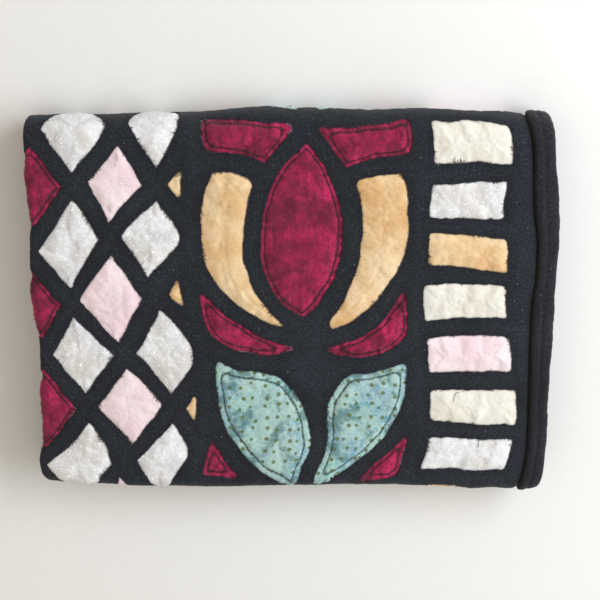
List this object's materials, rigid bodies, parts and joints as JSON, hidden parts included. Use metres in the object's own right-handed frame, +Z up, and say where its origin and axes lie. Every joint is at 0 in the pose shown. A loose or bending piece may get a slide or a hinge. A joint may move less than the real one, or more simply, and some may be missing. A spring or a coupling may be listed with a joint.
{
  "type": "quilted wall hanging",
  "caption": "Quilted wall hanging of cotton patchwork under black strips, bound in black and folded into a flat packet.",
  "frame": {"origin": "middle of the packet's box, on the surface that it lies on", "axes": "+X along the packet's long side, from the fold across the width to the bound edge; +Y along its short side, towards the wide fold; +Z up, out of the quilted face that shows"},
  "size_m": [0.3936, 0.2958, 0.0399],
  "materials": {
    "black_cotton": "woven cotton, slightly faded black with lint",
    "binding_cotton": "woven cotton, warm black",
    "burgundy_cotton": "hand-dyed cotton, mottled burgundy",
    "peach_cotton": "hand-dyed cotton, mottled peach",
    "pink_cotton": "plain cotton, pale pink",
    "cream_cotton": "plain cotton, cream",
    "glitter_cotton": "white cotton with fine glitter",
    "batik_cotton": "green-blue dyed cotton with small dots",
    "black_thread": "spun sewing thread"
  },
  "bodies": {
    "root": {"quilt_body": "black_cotton", "binding_side_upper": "binding_cotton", "binding_side_lower": "binding_cotton", "binding_end_bottom": "binding_cotton", "binding_end_inner": "binding_cotton"}
  },
  "joints": []
}
